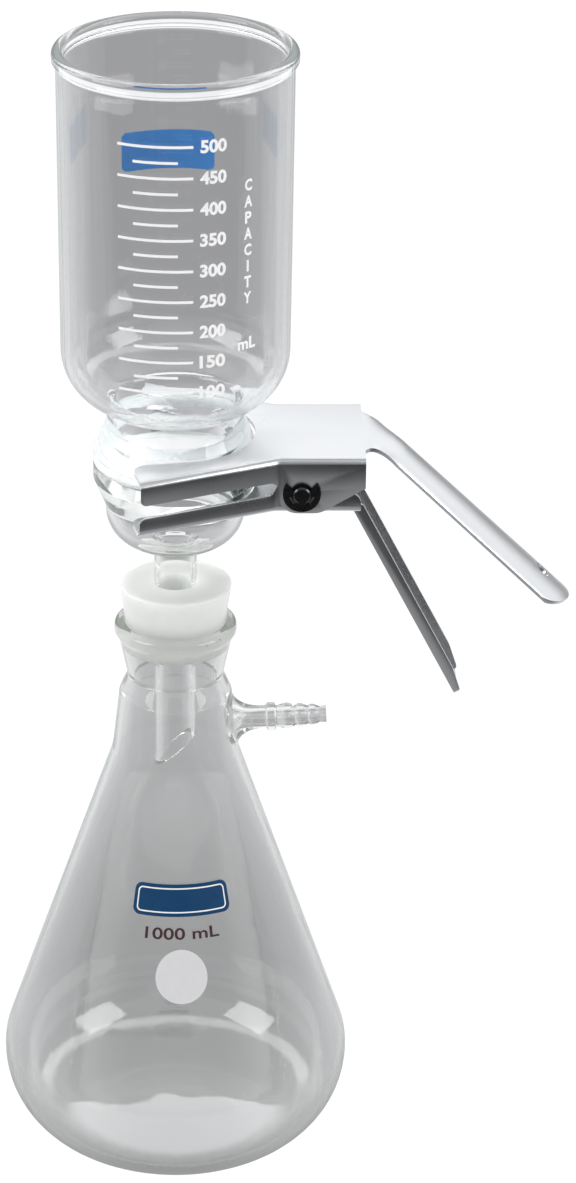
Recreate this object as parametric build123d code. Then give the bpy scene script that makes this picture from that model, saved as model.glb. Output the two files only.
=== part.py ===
"""All-glass vacuum filtration unit: funnel, fritted base, clamp, stopper and side-arm flask.

Millimetres, +Z up. The origin is the middle of the flask's foot, on the axis that the flask,
the stopper, the base and the funnel share. The side arm and the clamp's handles point to +X.
"""
from build123d import *
from math import acos, cos, degrees, pi, radians, sin, sqrt, tan
import os

os.makedirs("parts", exist_ok=True)

# ---- Driving dimensions ----------------------------------------------------------------------

# Filtering flask, 1000 mL, blown in one piece with its side arm
FLASK_RADIUS = 65.0
FLASK_HEIGHT = 214.0
FLASK_WALL = 2.4
HEEL_RADIUS = 34.5
CONE_ANGLE = 18.8            # slope of the body from the vertical, degrees
CONE_FOOT_RADIUS = 78.4      # where the body's slope would meet the table
PUNT_RADIUS = 25.0
PUNT_RISE = 1.5
SHOULDER_RADIUS = 20.6
SHOULDER_Z = 185.5
NECK_RADIUS = 17.5
NECK_Z = 192.3
LIP_RADIUS = 22.3
LIP_HEIGHT = 4.6

# Side arm with its hose barb
ARM_Z = 172.0
ARM_TILT = 3.0
ARM_RADIUS = 4.25
ARM_BORE = 2.5
ARM_ROOT_RADIUS = 8.5
COLLAR_X, COLLAR_LENGTH, COLLAR_RADIUS = 34.0, 2.6, 5.2
BARB_RINGS = ((41.3, 4.8), (46.0, 4.4), (50.4, 3.95))
ARM_TIP_X, ARM_TIP_RADIUS = 55.6, 3.0

# Silicone stopper, size 8, with one hole
STOPPER_TOP_RADIUS = 20.5
STOPPER_BOTTOM_RADIUS = 16.6
STOPPER_HEIGHT = 25.4
STOPPER_Z = 203.6

# Filter base: ground flange, support disc, bowl and stem
JOINT_Z = 277.5              # the ground face that the membrane lies on
FLANGE_RADIUS = 29.5
FLANGE_THICKNESS = 6.0
STEM_RADIUS = 7.7
STEM_BORE = 5.9
STEM_TIP_Z = 155.0           # lowest point of the slanted tip
STEM_TIP_ANGLE = 42.0
GLASS_WALL = 2.6
DISC_RADIUS, DISC_THICKNESS = 20.0, 4.0

# Membrane filter, 47 mm
MEMBRANE_RADIUS, MEMBRANE_THICKNESS = 23.5, 0.15

# Funnel, 500 mL
FUNNEL_HEIGHT = 153.0
FUNNEL_RADIUS = 41.3
FUNNEL_FOOT_RADIUS = 40.6
FUNNEL_NECK_RADIUS = 24.7
FUNNEL_SHOULDER = 22.5
RIM_RADIUS = 42.7

# Clamp: two folded sheet jaws on a pivot pin
SHEET = 1.5
PIVOT_X, PIVOT_Z = 44.5, 275.1
UPPER_WEB_Z = 288.3          # upper face of the upper jaw
LOWER_WEB_Z = 266.8          # lower face of the lower jaw
UPPER_HALF_WIDTH = 26.0
LOWER_HALF_WIDTH = 24.2
FLARE_ANGLE = 24.0           # how far the prongs spread
UPPER_FLARE_X, LOWER_FLARE_X = 36.4, 35.4
UPPER_TIP_X, LOWER_TIP_X = -12.0, -12.5
UPPER_REAR_X, LOWER_REAR_X = 67.0, 65.5
MOUTH_RADIUS = 28.55         # the round cut-out that bears on the glass flanges
MOUTH_FLARE = 10.0
FOLD_RADIUS = 2.6
KNEE_RADIUS = 6.0

# Handles
UPPER_BEND_X, UPPER_BEND_RADIUS, UPPER_SLOPE = 67.0, 23.0, 43.9
UPPER_RELIEF_RADIUS = 3.6    # rounds the corner between the jaw's rear edge and the handle
UPPER_HANDLE_LENGTH = 83.2   # straight run beyond the bend
UPPER_ARCH = 4.0
UPPER_ROOT_HALF_WIDTH, UPPER_WAIST_HALF_WIDTH, UPPER_END_HALF_WIDTH = 15.6, 12.4, 14.2
HANGING_HOLE_RADIUS, HANGING_HOLE_FROM_END = 3.2, 13.5
LOWER_BEND_X, LOWER_BEND_RADIUS, LOWER_SLOPE = 60.9, 4.0, 62.5
LOWER_HANDLE_LENGTH = 88.6
LOWER_HANDLE_HALF_WIDTH = 10.35
LOWER_HANDLE_FLANGE = 4.0

# Pivot pin, retaining clips and spring
PIN_RADIUS, PIN_END_RADIUS, GROOVE_RADIUS = 4.0, 3.175, 2.665
PIN_PLAY = 0.05
CLIP_RADIUS, CLIP_THICKNESS = 6.7, 0.64
CLIP_GAP = 0.05
PIN_END_LENGTH = 2.3
WIRE_RADIUS, COIL_RADIUS, COIL_PITCH, COIL_TURNS = 0.7, 5.2, 1.6, 8
UPPER_LEG, LOWER_LEG = 19.5, 15.0


# ---- Shared construction ---------------------------------------------------------------------

def rounded_face(corners):
    """A flat face through (x, y, radius) corners, each one rounded by a tangent arc."""
    points = [Vector(x, y) for x, y, _ in corners]
    count = len(points)
    edges, ends = [], []
    for i, (_, _, radius) in enumerate(corners):
        here = points[i]
        to_last = (points[i - 1] - here).normalized()
        to_next = (points[(i + 1) % count] - here).normalized()
        if radius == 0:
            ends.append((here, here))
            continue
        half = acos(max(-1.0, min(1.0, to_last.dot(to_next)))) / 2
        reach = radius / tan(half)
        middle_way = (to_last + to_next).normalized()
        start, finish = here + to_last * reach, here + to_next * reach
        nearest = here + middle_way * (radius / sin(half) - radius)
        edges.append(ThreePointArc(start, nearest, finish))
        ends.append((start, finish))
    for i in range(count):
        start, finish = ends[i][1], ends[(i + 1) % count][0]
        if (finish - start).length > 1e-6:
            edges.append(Line(start, finish))
    return make_face(edges)


def turned(corners):
    """A solid of revolution about Z from (radius, height, rounding) corners."""
    return revolve(Plane.XZ * rounded_face(corners), Axis.Z)


def upright(face, height, z=0.0):
    """A plan outline pulled up from height z."""
    return extrude(Pos(0, 0, z) * face, height)


def side_cut(corners, half_width):
    """A solid with an (x, z, rounding) outline, reaching half_width to each side of Y = 0."""
    return extrude(Plane.XZ * rounded_face(corners), half_width, both=True)


def cross_rod(radius, half_length):
    """A rod along Y through the clamp's pivot."""
    return Pos(PIVOT_X, 0, PIVOT_Z) * Rot(90, 0, 0) * Cylinder(radius, 2 * half_length)


# ---- Filtering flask -------------------------------------------------------------------------

def cone_z(radius, inset):
    """Height at which the flask's sloping wall, set in by inset, has this radius."""
    return (CONE_FOOT_RADIUS - inset / cos(radians(CONE_ANGLE)) - radius) / tan(radians(CONE_ANGLE))


def stopper_radius(z):
    """Radius of the stopper's taper at this height; the flask's mouth is ground to match it."""
    taper = (STOPPER_TOP_RADIUS - STOPPER_BOTTOM_RADIUS) / STOPPER_HEIGHT
    return STOPPER_BOTTOM_RADIUS + (z - STOPPER_Z) * taper


def make_flask():
    wall = FLASK_WALL
    waist = SHOULDER_RADIUS + 2.6
    inner_radius, inner_waist = FLASK_RADIUS - wall, waist - wall
    outside = [
        (0, PUNT_RISE, 0),
        (PUNT_RADIUS, 0, 4),
        (FLASK_RADIUS, 0, HEEL_RADIUS),
        (FLASK_RADIUS, cone_z(FLASK_RADIUS, 0), 25),
        (waist, cone_z(waist, 0), 25),
        (SHOULDER_RADIUS, SHOULDER_Z, 5),
        (NECK_RADIUS, NECK_Z, 1),
        (LIP_RADIUS - 1.6, FLASK_HEIGHT - LIP_HEIGHT - 1.6, 1),
        (LIP_RADIUS, FLASK_HEIGHT - LIP_HEIGHT + 0.6, 1.2),
        (LIP_RADIUS, FLASK_HEIGHT, 2.1),
    ]
    inside = [
        (stopper_radius(FLASK_HEIGHT), FLASK_HEIGHT, 1.2),
        (stopper_radius(NECK_Z), NECK_Z, 3),
        (SHOULDER_RADIUS - wall, SHOULDER_Z - 1.5, 2.6),
        (inner_waist, cone_z(inner_waist, wall), 25),
        (inner_radius, cone_z(inner_radius, wall), 22),
        (inner_radius, wall, HEEL_RADIUS - wall),
        (PUNT_RADIUS, wall, 5),
        (0, wall + PUNT_RISE, 0),
    ]
    body = turned(outside + inside)
    cavity = turned(inside[::-1] + [(0, FLASK_HEIGHT, 0)])

    # The side arm is turned about its own axis, with its root drawn out of the wall.
    arm_frame = Pos(0, 0, ARM_Z) * Rot(0, -ARM_TILT, 0)
    arm_section = [
        (15, 0, 0),
        (15, ARM_ROOT_RADIUS + 6, 0),
        (21.5, ARM_ROOT_RADIUS + 4, 0),
        (27.5, ARM_RADIUS, 6),
        (COLLAR_X - 0.6, ARM_RADIUS, 0),
        (COLLAR_X, COLLAR_RADIUS, 0),
        (COLLAR_X + COLLAR_LENGTH, COLLAR_RADIUS, 0),
        (COLLAR_X + COLLAR_LENGTH + 0.6, ARM_RADIUS - 0.3, 0),
    ]
    for x, radius in BARB_RINGS:
        arm_section += [(x - 0.5, radius, 0.3), (x + 0.4, radius, 0.3), (x + 2.8, radius - 1.0, 0)]
    arm_section += [(ARM_TIP_X, ARM_TIP_RADIUS, 0.8), (ARM_TIP_X, 0, 0)]
    arm = arm_frame * revolve(rounded_face(arm_section), Axis.X)
    bore = arm_frame * Pos(40, 0, 0) * Rot(0, 90, 0) * Cylinder(ARM_BORE, 50)
    throat = arm_frame * Pos(21, 0, 0) * Rot(0, 90, 0) * Cone(ARM_BORE + 3.0, ARM_BORE, 14)
    return body + (arm - cavity) - bore - throat


# ---- Stopper ---------------------------------------------------------------------------------

def make_stopper():
    top = STOPPER_Z + STOPPER_HEIGHT
    return turned([
        (STEM_RADIUS, STOPPER_Z, 0),
        (STOPPER_BOTTOM_RADIUS, STOPPER_Z, 0.6),
        (STOPPER_TOP_RADIUS, top, 0.6),
        (STEM_RADIUS, top, 0),
    ])


# ---- Filter base, its support disc and the membrane ------------------------------------------

def make_filter_base():
    neck_z = 243.5
    seat_z = JOINT_Z - DISC_THICKNESS
    section = [
        (STEM_RADIUS, STEM_TIP_Z - 5, 0),
        (STEM_RADIUS, neck_z, 3.5),
        (24.6, 248.5, 14),
        (25.2, 261, 4),
        (FLANGE_RADIUS, JOINT_Z - FLANGE_THICKNESS, 0.8),
        (FLANGE_RADIUS, JOINT_Z, 0.4),
        (DISC_RADIUS, JOINT_Z, 0),
        (DISC_RADIUS, seat_z, 0),
        (DISC_RADIUS - 2.2, seat_z, 0),
        (22.2, 262, 4),
        (21.8, 251, 11),
        (STEM_BORE, 246.3, 3),
        (STEM_BORE, STEM_TIP_Z - 5, 0),
    ]
    base = turned(section)
    below_tip = Pos(0, 0, STEM_TIP_Z) * Pos(-STEM_RADIUS, 0, 0) * Rot(0, -STEM_TIP_ANGLE, 0)
    return base - below_tip * Pos(0, 0, -20) * Box(80, 40, 40)


def make_fritted_disc():
    return Pos(0, 0, JOINT_Z - DISC_THICKNESS / 2) * Cylinder(DISC_RADIUS, DISC_THICKNESS)


def make_membrane():
    return Pos(0, 0, JOINT_Z + MEMBRANE_THICKNESS / 2) * Cylinder(MEMBRANE_RADIUS, MEMBRANE_THICKNESS)


# ---- Funnel ----------------------------------------------------------------------------------

def make_funnel():
    z = JOINT_Z + MEMBRANE_THICKNESS
    top = z + FUNNEL_HEIGHT
    shoulder_z = z + 21.8
    body_z = z + 28.2
    inner_neck = FUNNEL_NECK_RADIUS - GLASS_WALL
    slope = (body_z - shoulder_z) / (FUNNEL_FOOT_RADIUS - FUNNEL_NECK_RADIUS)
    lift = GLASS_WALL * sqrt(1 + slope * slope)
    return turned([
        (DISC_RADIUS, z, 0),
        (FLANGE_RADIUS, z, 0.4),
        (FLANGE_RADIUS, z + FLANGE_THICKNESS - 0.6, 0.8),
        (FUNNEL_NECK_RADIUS, z + 16, 8),
        (FUNNEL_NECK_RADIUS, shoulder_z, 1.4),
        (FUNNEL_FOOT_RADIUS, body_z, FUNNEL_SHOULDER),
        (FUNNEL_RADIUS, top - 5.4, 0.8),
        (RIM_RADIUS, top - 4.2, 1.2),
        (RIM_RADIUS, top, 2.2),
        (FUNNEL_RADIUS - 3.2, top, 2.0),
        (FUNNEL_RADIUS - 2.4, top - 5.4, 2.0),
        (FUNNEL_FOOT_RADIUS - GLASS_WALL, body_z + lift - GLASS_WALL * slope, FUNNEL_SHOULDER - GLASS_WALL),
        (inner_neck, shoulder_z + lift - GLASS_WALL * slope, 3),
        (inner_neck, z + 13, 4),
        (DISC_RADIUS, z + 7, 3),
    ])


# ---- Clamp jaws ------------------------------------------------------------------------------

def jaw_plan(half_width, flare_x, tip_x, rear_x, inset, overhang):
    """Plan of a folded jaw: straight at the pivot, then prongs that spread towards the tips."""
    angle = radians(FLARE_ANGLE)
    side = half_width - inset
    tip = half_width - inset / cos(angle) + (flare_x - tip_x + overhang) * tan(angle)
    knee_x = flare_x - inset * tan(angle / 2)
    right = [(rear_x + overhang, -side, 0), (knee_x, -side, KNEE_RADIUS), (tip_x - overhang, -tip, 0)]
    return rounded_face(right + [(x, -y, r) for x, y, r in reversed(right)])


def fold_edges(solid, z):
    """The two long edges of a jaw's prism at this height, without those of its ends."""
    return [e for e in solid.edges() if abs((e @ 0.5).Z - z) < 0.01 and abs((e @ 0.5).Y) > 10]


def folded_channel(half_width, flare_x, tip_x, rear_x, low, high, fold_z, sheet_shift):
    """A sheet channel over the jaw's plan, its long sides folded with a round outside bend."""
    outer = upright(jaw_plan(half_width, flare_x, tip_x, rear_x, 0, 6), high - low, low)
    inner = upright(jaw_plan(half_width, flare_x, tip_x, rear_x, SHEET, 12), high - low, low)
    outer = fillet(fold_edges(outer, fold_z), FOLD_RADIUS)
    inner = fillet(fold_edges(inner, fold_z), FOLD_RADIUS - SHEET)
    return outer - Pos(0, 0, sheet_shift) * inner


def mouth(tip_x):
    """Plan of what is cut away between and before the prongs, round where it holds the glass."""
    angle = radians(MOUTH_FLARE)
    seat_x, seat_y = MOUTH_RADIUS * sin(angle), MOUTH_RADIUS * cos(angle)
    corner_x = tip_x - 3.3
    corner_y = seat_y + (seat_x - corner_x) * tan(angle)
    right = [
        (tip_x - 40, -80, 0),
        (tip_x + 6.4, -80, 0),
        (corner_x, -corner_y, 5),
        (seat_x, -seat_y, 0),
    ]
    return rounded_face(right + [(x, -y, r) for x, y, r in reversed(right)]) + Circle(MOUTH_RADIUS)


def make_upper_jaw():
    web_low = UPPER_WEB_Z - SHEET
    flange_low = UPPER_WEB_Z - 8.7
    lobe = 7.5
    low = PIVOT_Z - 12
    shell = folded_channel(
        UPPER_HALF_WIDTH, UPPER_FLARE_X, UPPER_TIP_X, UPPER_REAR_X,
        low, UPPER_WEB_Z, UPPER_WEB_Z, -SHEET,
    )
    # Side view of the flanges: shallow along the prongs, deep round the pin.
    shell = shell & side_cut([
        (UPPER_TIP_X - 8, UPPER_WEB_Z + 5, 0),
        (UPPER_TIP_X - 8, web_low - 0.01, 0),
        (UPPER_TIP_X, web_low - 0.01, 0),
        (UPPER_TIP_X, flange_low, 2.2),
        (PIVOT_X - lobe - 1, flange_low, 3),
        (PIVOT_X - lobe, PIVOT_Z - lobe, 6.5),
        (PIVOT_X + lobe - 1, PIVOT_Z - lobe, 8),
        (UPPER_REAR_X, PIVOT_Z + 2, 0),
        (UPPER_REAR_X, UPPER_WEB_Z + 5, 0),
    ], 70)
    shell = shell - upright(mouth(UPPER_TIP_X), 40, low - 5)
    return shell + upper_handle() - cross_rod(PIN_RADIUS, 40)


def upper_frame(turn, run=0.0):
    """Plane across the upper handle, after this much of the bend and then a straight run."""
    angle = radians(turn)
    x = UPPER_BEND_X + UPPER_BEND_RADIUS * sin(angle) + run * cos(angle)
    z = UPPER_WEB_Z - UPPER_BEND_RADIUS * (1 - cos(angle)) - run * sin(angle)
    return Plane(origin=(x, 0, z), x_dir=(0, 1, 0), z_dir=(cos(angle), 0, -sin(angle)))


def handle_section(frame, half_width, rise):
    """Section of the upper handle: arched sheet whose crown passes through the frame's origin."""
    arch_radius = (half_width ** 2 + rise ** 2) / (2 * rise)
    inner = (arch_radius - SHEET) / arch_radius
    low_half, low_rise = half_width * inner, arch_radius - (arch_radius - rise) * inner
    top = ThreePointArc((-half_width, -rise), (0, 0), (half_width, -rise))
    low = ThreePointArc((-low_half, -low_rise), (0, -SHEET), (low_half, -low_rise))
    sides = [Line(top @ 0, low @ 0), Line(top @ 1, low @ 1)]
    return frame * make_face([top, low] + sides)


def bend_section(share):
    """Section of the upper jaw's bend, which arches and narrows from the web to the handle."""
    rise = 0.02 + UPPER_ARCH * (3 * share ** 2 - 2 * share ** 3)
    narrowing = (UPPER_ROOT_HALF_WIDTH - UPPER_WAIST_HALF_WIDTH) * sin(share * pi / 2)
    short = max(0.0, UPPER_RELIEF_RADIUS - UPPER_BEND_RADIUS * radians(UPPER_SLOPE * share))
    relief = UPPER_RELIEF_RADIUS - sqrt(UPPER_RELIEF_RADIUS ** 2 - short ** 2)
    half_width = UPPER_ROOT_HALF_WIDTH - narrowing + relief
    return handle_section(upper_frame(UPPER_SLOPE * share), half_width, rise)


def upper_handle():
    """The bend and the arched, widening handle, with a round end and a hanging hole."""
    relief_share = degrees(UPPER_RELIEF_RADIUS / UPPER_BEND_RADIUS) / UPPER_SLOPE
    shares = [relief_share * i / 5 for i in range(6)]
    shares += [relief_share + (1 - relief_share) * i / 5 for i in range(1, 6)]
    sections = [bend_section(share) for share in shares]
    end = upper_frame(UPPER_SLOPE, UPPER_HANDLE_LENGTH)
    blade = loft([sections[-1], handle_section(end, UPPER_END_HALF_WIDTH, UPPER_ARCH)], ruled=True)
    across = Plane(origin=end.origin, x_dir=end.z_dir, z_dir=end.y_dir)
    start, half, wide = -UPPER_HANDLE_LENGTH - 5, UPPER_END_HALF_WIDTH, 2 * UPPER_END_HALF_WIDTH
    blade = blade & extrude(across * rounded_face([
        (start, -wide, 0), (-half, -half - 1, 0), (-half, -half, 0), (0, -half, half - 0.2),
        (0, half, half - 0.2), (-half, half, 0), (-half, half + 1, 0), (start, wide, 0),
    ]), 12, both=True)
    blade = blade - across * Pos(-HANGING_HOLE_FROM_END, 0, 0) * Cylinder(HANGING_HOLE_RADIUS, 20)
    tongue_x = (UPPER_REAR_X - 4 + UPPER_BEND_X) / 2
    tongue = Pos(tongue_x, 0, UPPER_WEB_Z - SHEET / 2) * Box(
        UPPER_BEND_X - UPPER_REAR_X + 4, 2 * UPPER_ROOT_HALF_WIDTH, SHEET)
    return tongue + loft(sections[:6]) + loft(sections[5:]) + blade


def make_lower_jaw():
    web_top = LOWER_WEB_Z + SHEET
    flange_top = LOWER_WEB_Z + 6.9
    hump = 7.0
    shell = folded_channel(
        LOWER_HALF_WIDTH, LOWER_FLARE_X, LOWER_TIP_X, LOWER_REAR_X,
        LOWER_WEB_Z, PIVOT_Z + 9, LOWER_WEB_Z, SHEET,
    )
    shell = shell & side_cut([
        (LOWER_TIP_X - 8, LOWER_WEB_Z - 5, 0),
        (LOWER_REAR_X, LOWER_WEB_Z - 5, 0),
        (LOWER_REAR_X, PIVOT_Z - 0.6, 4),
        (PIVOT_X + hump + 3, PIVOT_Z - 0.6, 3),
        (PIVOT_X + hump, PIVOT_Z + hump, 6),
        (PIVOT_X - hump, PIVOT_Z + hump, 6),
        (PIVOT_X - hump - 3, flange_top, 3),
        (LOWER_TIP_X, flange_top, 2.2),
        (LOWER_TIP_X, web_top + 0.01, 0),
        (LOWER_TIP_X - 8, web_top + 0.01, 0),
    ], 70)
    shell = shell - upright(mouth(LOWER_TIP_X), 40, LOWER_WEB_Z - 5)
    # The web ends at the handle's bend; only the flanges reach the jaw's rear.
    web_end = LOWER_BEND_X - 3.0
    clear = 2 * (LOWER_HALF_WIDTH - FOLD_RADIUS)
    shell = shell - Pos(web_end + 5, 0, LOWER_WEB_Z) * Box(10, clear, 2 * SHEET + 1)
    return shell + lower_handle() - cross_rod(PIN_RADIUS + PIN_PLAY, 40)


def lower_handle():
    """A shallow channel that turns down from the web, its flanges facing the upper handle."""
    turn = radians(LOWER_SLOPE)
    length, half = LOWER_HANDLE_LENGTH, LOWER_HANDLE_HALF_WIDTH
    frame = Plane(
        origin=(LOWER_BEND_X, 0, LOWER_WEB_Z), x_dir=(cos(turn), 0, -sin(turn)), z_dir=(0, -1, 0)
    )
    end = Vector(LOWER_BEND_X + length * cos(turn), LOWER_WEB_Z - length * sin(turn))
    out = Vector(SHEET * sin(turn), SHEET * cos(turn))
    strip = side_cut([
        (LOWER_BEND_X - 12, LOWER_WEB_Z, 0),
        (LOWER_BEND_X, LOWER_WEB_Z, LOWER_BEND_RADIUS),
        (end.X, end.Y, 0),
        (end.X + out.X, end.Y + out.Y, 0),
        (LOWER_BEND_X + SHEET * tan(turn / 2), LOWER_WEB_Z + SHEET, LOWER_BEND_RADIUS + SHEET),
        (LOWER_BEND_X - 12, LOWER_WEB_Z + SHEET, 0),
    ], half)
    wall = extrude(frame * rounded_face([
        (4, 0.2, 0),
        (length, 0.2, 0),
        (length, 0.6 * LOWER_HANDLE_FLANGE, 1.5),
        (length - 10, LOWER_HANDLE_FLANGE, 12),
        (4, LOWER_HANDLE_FLANGE, 2.5),
    ]), SHEET / 2, both=True)
    reach = half - SHEET / 2
    handle = strip + Pos(0, reach, 0) * wall + Pos(0, -reach, 0) * wall
    flat = Plane(origin=frame.origin, x_dir=frame.x_dir, z_dir=frame.y_dir)
    return handle & extrude(flat * rounded_face([
        (-40, -half, 0), (length, -half, 1.5), (length, half, 1.5), (-40, half, 0),
    ]), 60, both=True)


# ---- Pivot pin, retaining clips and spring ---------------------------------------------------

def make_pivot_pin():
    """A shouldered pin; its thinner ends carry the grooves that the retaining clips sit in."""
    half = UPPER_HALF_WIDTH
    tip = half + PIN_END_LENGTH
    groove, groove_end = half + CLIP_GAP, half + CLIP_GAP + 0.7
    right = [
        (PIN_RADIUS, half, 0),
        (GROOVE_RADIUS, half, 0),
        (GROOVE_RADIUS, groove_end, 0),
        (PIN_END_RADIUS, groove_end, 0),
        (PIN_END_RADIUS, tip - 0.5, 0),
        (PIN_END_RADIUS - 0.5, tip, 0),
        (0, tip, 0),
    ]
    left = [(r, -y, 0) for r, y, _ in reversed(right)]
    pin = revolve(rounded_face(left + right), Axis.Y)
    return Pos(PIVOT_X, 0, PIVOT_Z) * pin


def make_retaining_clip(side):
    """An E-shaped spring clip, pushed up into the pin's groove with its mouth at the top."""
    mouth_cut = rounded_face([(-1.25, 0, 0), (1.25, 0, 0), (9.25, 8, 0), (-9.25, 8, 0)])
    face = Circle(CLIP_RADIUS) - Circle(GROOVE_RADIUS) - mouth_cut
    for angle in (213, 327):
        face = face - Rot(0, 0, angle) * Pos(3.3, 0) * Rectangle(2.6, 2.8)
    blank = extrude(Plane.XZ * face, CLIP_THICKNESS / 2, both=True)
    y = side * (UPPER_HALF_WIDTH + CLIP_GAP + 0.35)
    return Pos(PIVOT_X, y, PIVOT_Z) * blank


def make_clamp_spring():
    """A torsion spring wound round the pin; its two legs push the jaws' webs apart at the rear."""
    upper_angle, lower_angle = 107, 267
    turns = COIL_TURNS + (lower_angle - upper_angle) / 360
    width = COIL_PITCH * turns
    helix = Rot(0, 0, upper_angle) * Helix(COIL_PITCH, width, COIL_RADIUS)
    upper_leg = Line(helix @ 0 - (helix % 0) * UPPER_LEG, helix @ 0)
    lower_leg = Line(helix @ 1, helix @ 1 + (helix % 1) * LOWER_LEG)
    path = Wire([upper_leg.edge(), helix.edge(), lower_leg.edge()])
    start = Plane(origin=path @ 0, z_dir=path % 0) * Circle(WIRE_RADIUS)
    wire = sweep(start, path=path, transition=Transition.ROUND, is_frenet=True)
    return Pos(PIVOT_X, width / 2, PIVOT_Z) * Rot(90, 0, 0) * wire


# ---- One STEP file for each piece ------------------------------------------------------------

pieces = {
    "flask": make_flask(),
    "stopper": make_stopper(),
    "filter_base": make_filter_base(),
    "fritted_disc": make_fritted_disc(),
    "membrane_filter": make_membrane(),
    "funnel": make_funnel(),
    "clamp_upper_jaw": make_upper_jaw(),
    "clamp_lower_jaw": make_lower_jaw(),
    "clamp_pivot_pin": make_pivot_pin(),
    "retaining_clip_front": make_retaining_clip(-1),
    "retaining_clip_rear": make_retaining_clip(1),
    "clamp_spring": make_clamp_spring(),
}
for name, piece in pieces.items():
    export_step(piece, f"parts/{name}.step")
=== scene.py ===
import cmath
from functools import reduce
from math import acos, atan2, ceil, cos, hypot, pi, radians, sin, sqrt, tan

import bmesh
import bpy
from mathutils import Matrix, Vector


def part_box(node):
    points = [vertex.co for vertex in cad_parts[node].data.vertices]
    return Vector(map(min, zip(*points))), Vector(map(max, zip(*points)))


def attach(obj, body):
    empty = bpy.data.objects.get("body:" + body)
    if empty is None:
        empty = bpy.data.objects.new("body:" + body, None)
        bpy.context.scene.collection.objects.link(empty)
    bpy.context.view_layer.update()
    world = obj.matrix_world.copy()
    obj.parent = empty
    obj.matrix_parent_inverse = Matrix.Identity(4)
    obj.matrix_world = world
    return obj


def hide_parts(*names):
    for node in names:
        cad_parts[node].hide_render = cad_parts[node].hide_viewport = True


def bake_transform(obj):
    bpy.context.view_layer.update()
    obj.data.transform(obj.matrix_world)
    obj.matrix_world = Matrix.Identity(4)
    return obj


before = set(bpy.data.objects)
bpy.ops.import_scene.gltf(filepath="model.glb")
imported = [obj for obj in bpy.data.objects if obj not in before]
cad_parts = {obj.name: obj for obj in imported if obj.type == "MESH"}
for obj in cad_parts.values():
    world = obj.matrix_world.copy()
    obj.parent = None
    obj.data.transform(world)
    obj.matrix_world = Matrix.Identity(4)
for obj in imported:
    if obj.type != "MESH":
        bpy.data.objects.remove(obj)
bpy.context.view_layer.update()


# ---- Filtering flask ---------------------------------------------------------
# A 1000 mL flask of borosilicate glass, blown in a mould with a heavy, fire-polished lip.
# Its side arm is a drawn tube sealed into the shoulder while hot, with a hose barb at the end.

MM = 0.001
FLASK_WALL = 2.4
HEEL = 34.5
SLOPE = radians(18.8)
SLOPE_FOOT = 78.4            # radius at which the sloping wall would meet the table
PUNT_RADIUS, PUNT_RISE = 25.0, 1.5
SHOULDER_RADIUS, SHOULDER_Z = 20.6, 185.5
NECK_RADIUS, NECK_Z = 17.5, 192.3
LIP_RADIUS, LIP_HEIGHT = 22.3, 4.6
STOPPER_TOP_RADIUS, STOPPER_BOTTOM_RADIUS = 20.5, 16.6
stopper_low, stopper_high = (corner.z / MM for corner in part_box("stopper"))
flask_low, flask_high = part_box("flask")
FLASK_RADIUS, FLASK_TOP = -flask_low.x / MM, flask_high.z / MM

ARM_Z, ARM_TILT = 172.0, radians(3)
ARM_RADIUS, ARM_BORE = 4.25, 2.5
ARM_ROOT, THROAT_ROOT = 10.8, 7.6       # radii at which the arm's skins leave the flask's walls
ARM_START, BORE_START = 31.5, 28.0      # where the arm becomes a plain tube, outside and inside
COLLAR_X, COLLAR_LENGTH, COLLAR_RADIUS = 34.0, 2.6, 5.2
BARB_RINGS = ((41.3, 4.8), (46.0, 4.4), (50.4, 3.95))
ARM_TIP_X, ARM_TIP_RADIUS = 55.6, 3.0
WALL_SHARE, TUBE_SHARE = 0.62, 0.5      # how far the arm's flare keeps to the wall and the tube
HOLE_STEP, THROAT_STEP = 2.0, 1.7       # height of a mesh row beside the arm, outside and inside

WHITE = (1.0, 1.0, 1.0)
GLASS_IOR = 1.47
DRAWN_LINES = (230.0, 230.0, 5.0)       # noise of this scale on X, Y and Z makes upright lines
PAINTED_GLOW_AFTER = 2.0          # reflections inside the glass, after which it shows a painted pale glow


def rounded(corners, chord=radians(5)):
    """Points through (x, y, rounding) corners, each arc in short chords, as complex numbers."""
    corner = [complex(x, y) for x, y, _ in corners]
    points = []
    for i, (_, _, radius) in enumerate(corners):
        here = corner[i]
        if radius == 0:
            points.append(here)
            continue
        back, ahead = corner[i - 1] - here, corner[(i + 1) % len(corner)] - here
        back, ahead = back / abs(back), ahead / abs(ahead)
        half = acos(max(-1.0, min(1.0, (back * ahead.conjugate()).real))) / 2
        reach = radius / tan(half)
        centre = here + (back + ahead) / abs(back + ahead) * radius / sin(half)
        first, last = here + back * reach - centre, here + ahead * reach - centre
        sweep = cmath.phase(last / first)
        steps = max(2, ceil(abs(sweep) / chord))
        points += [centre + first * cmath.exp(1j * sweep * k / steps) for k in range(steps + 1)]
    return points


def evened(points, longest, closed=False):
    """The same outline with its long runs split, so that no step is longer than this."""
    made = []
    for i, here in enumerate(points):
        made.append(here)
        if i + 1 < len(points) or closed:
            ahead = points[(i + 1) % len(points)]
            parts = ceil(abs(ahead - here) / longest)
            made += [here + (ahead - here) * k / parts for k in range(1, parts)]
    return made


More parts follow.
